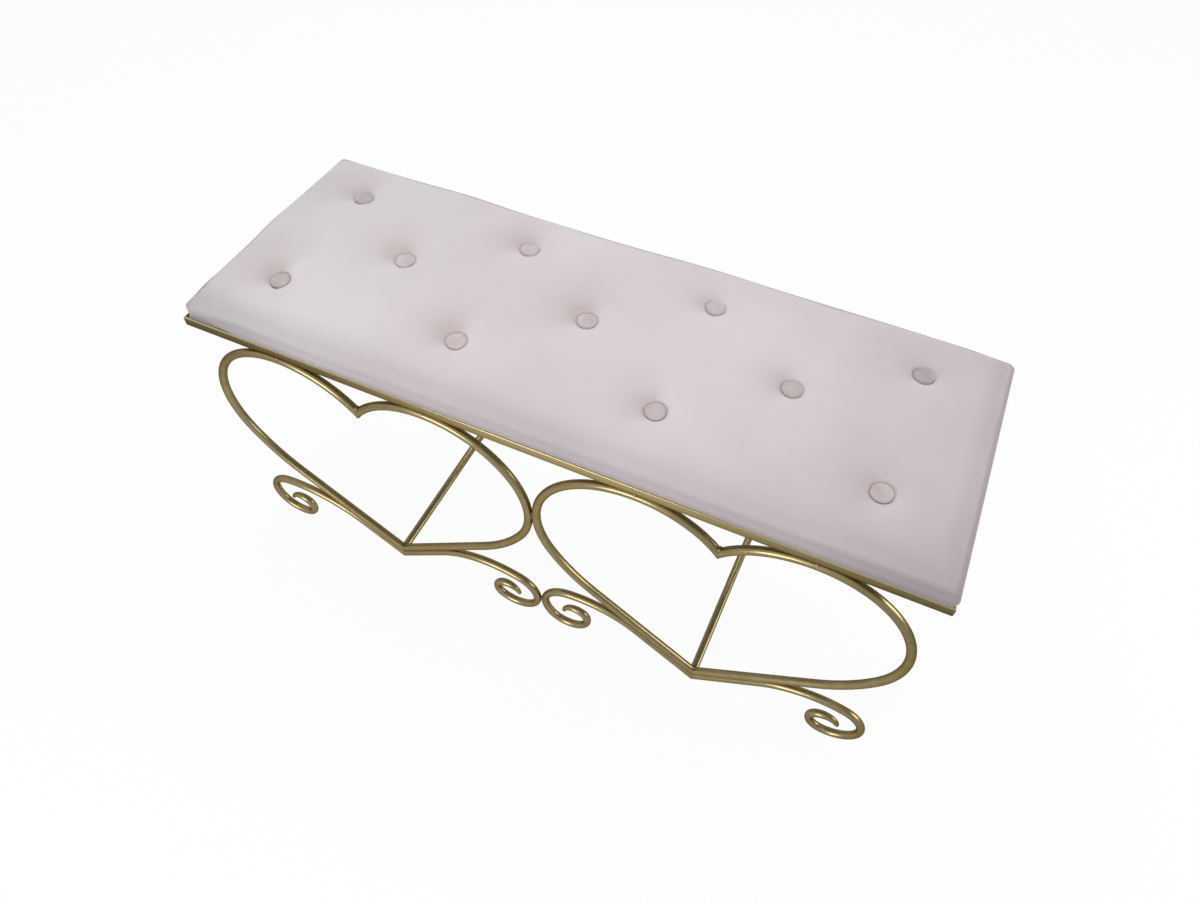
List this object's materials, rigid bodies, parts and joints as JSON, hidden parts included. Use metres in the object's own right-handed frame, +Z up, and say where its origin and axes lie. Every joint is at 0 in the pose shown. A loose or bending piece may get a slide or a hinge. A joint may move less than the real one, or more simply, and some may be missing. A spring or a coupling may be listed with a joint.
{
  "type": "bench",
  "caption": "Metal bench with heart shaped sides on scroll feet, an angle steel seat frame and a button tufted velvet cushion.",
  "frame": {"origin": "on the floor under the middle of the seat", "axes": "+X along the bench to its right end as seen from the front, +Y to the back, +Z up"},
  "size_m": [1.0005, 0.3694, 0.4812],
  "materials": {
    "frame_steel": "satin gold paint",
    "velvet": "short pile velvet",
    "plywood": "plain sanded",
    "foam": "open cell foam",
    "lining_cloth": "matt non-woven cloth",
    "twine": "waxed twine",
    "zinc_steel": "zinc plated"
  },
  "bodies": {
    "root": {"rail_front": "frame_steel", "rail_right": "frame_steel", "rail_back": "frame_steel", "rail_left": "frame_steel", "heart_front_left_outer": "frame_steel", "heart_front_left_inner": "frame_steel", "heart_front_right_inner": "frame_steel", "heart_front_right_outer": "frame_steel", "heart_back_left_outer": "frame_steel", "heart_back_left_inner": "frame_steel", "heart_back_right_inner": "frame_steel", "heart_back_right_outer": "frame_steel", "foot_front_left_outer": "frame_steel", "foot_front_left_inner": "frame_steel", "foot_front_right_inner": "frame_steel", "foot_front_right_outer": "frame_steel", "foot_back_left_outer": "frame_steel", "foot_back_left_inner": "frame_steel", "foot_back_right_inner": "frame_steel", "foot_back_right_outer": "frame_steel", "stretcher_left": "frame_steel", "stretcher_right": "frame_steel", "seat_screws": "zinc_steel", "seat_board": "plywood", "firm_foam": "foam", "soft_foam": "foam", "velvet_cover": "velvet", "dust_cover": "lining_cloth", "tuft_twines": "twine", "twine_washers": "zinc_steel", "tuft_button_1": "velvet", "tuft_button_2": "velvet", "tuft_button_3": "velvet", "tuft_button_4": "velvet", "tuft_button_5": "velvet", "tuft_button_6": "velvet", "tuft_button_7": "velvet", "tuft_button_8": "velvet", "tuft_button_9": "velvet", "tuft_button_10": "velvet", "tuft_button_11": "velvet"}
  },
  "joints": []
}
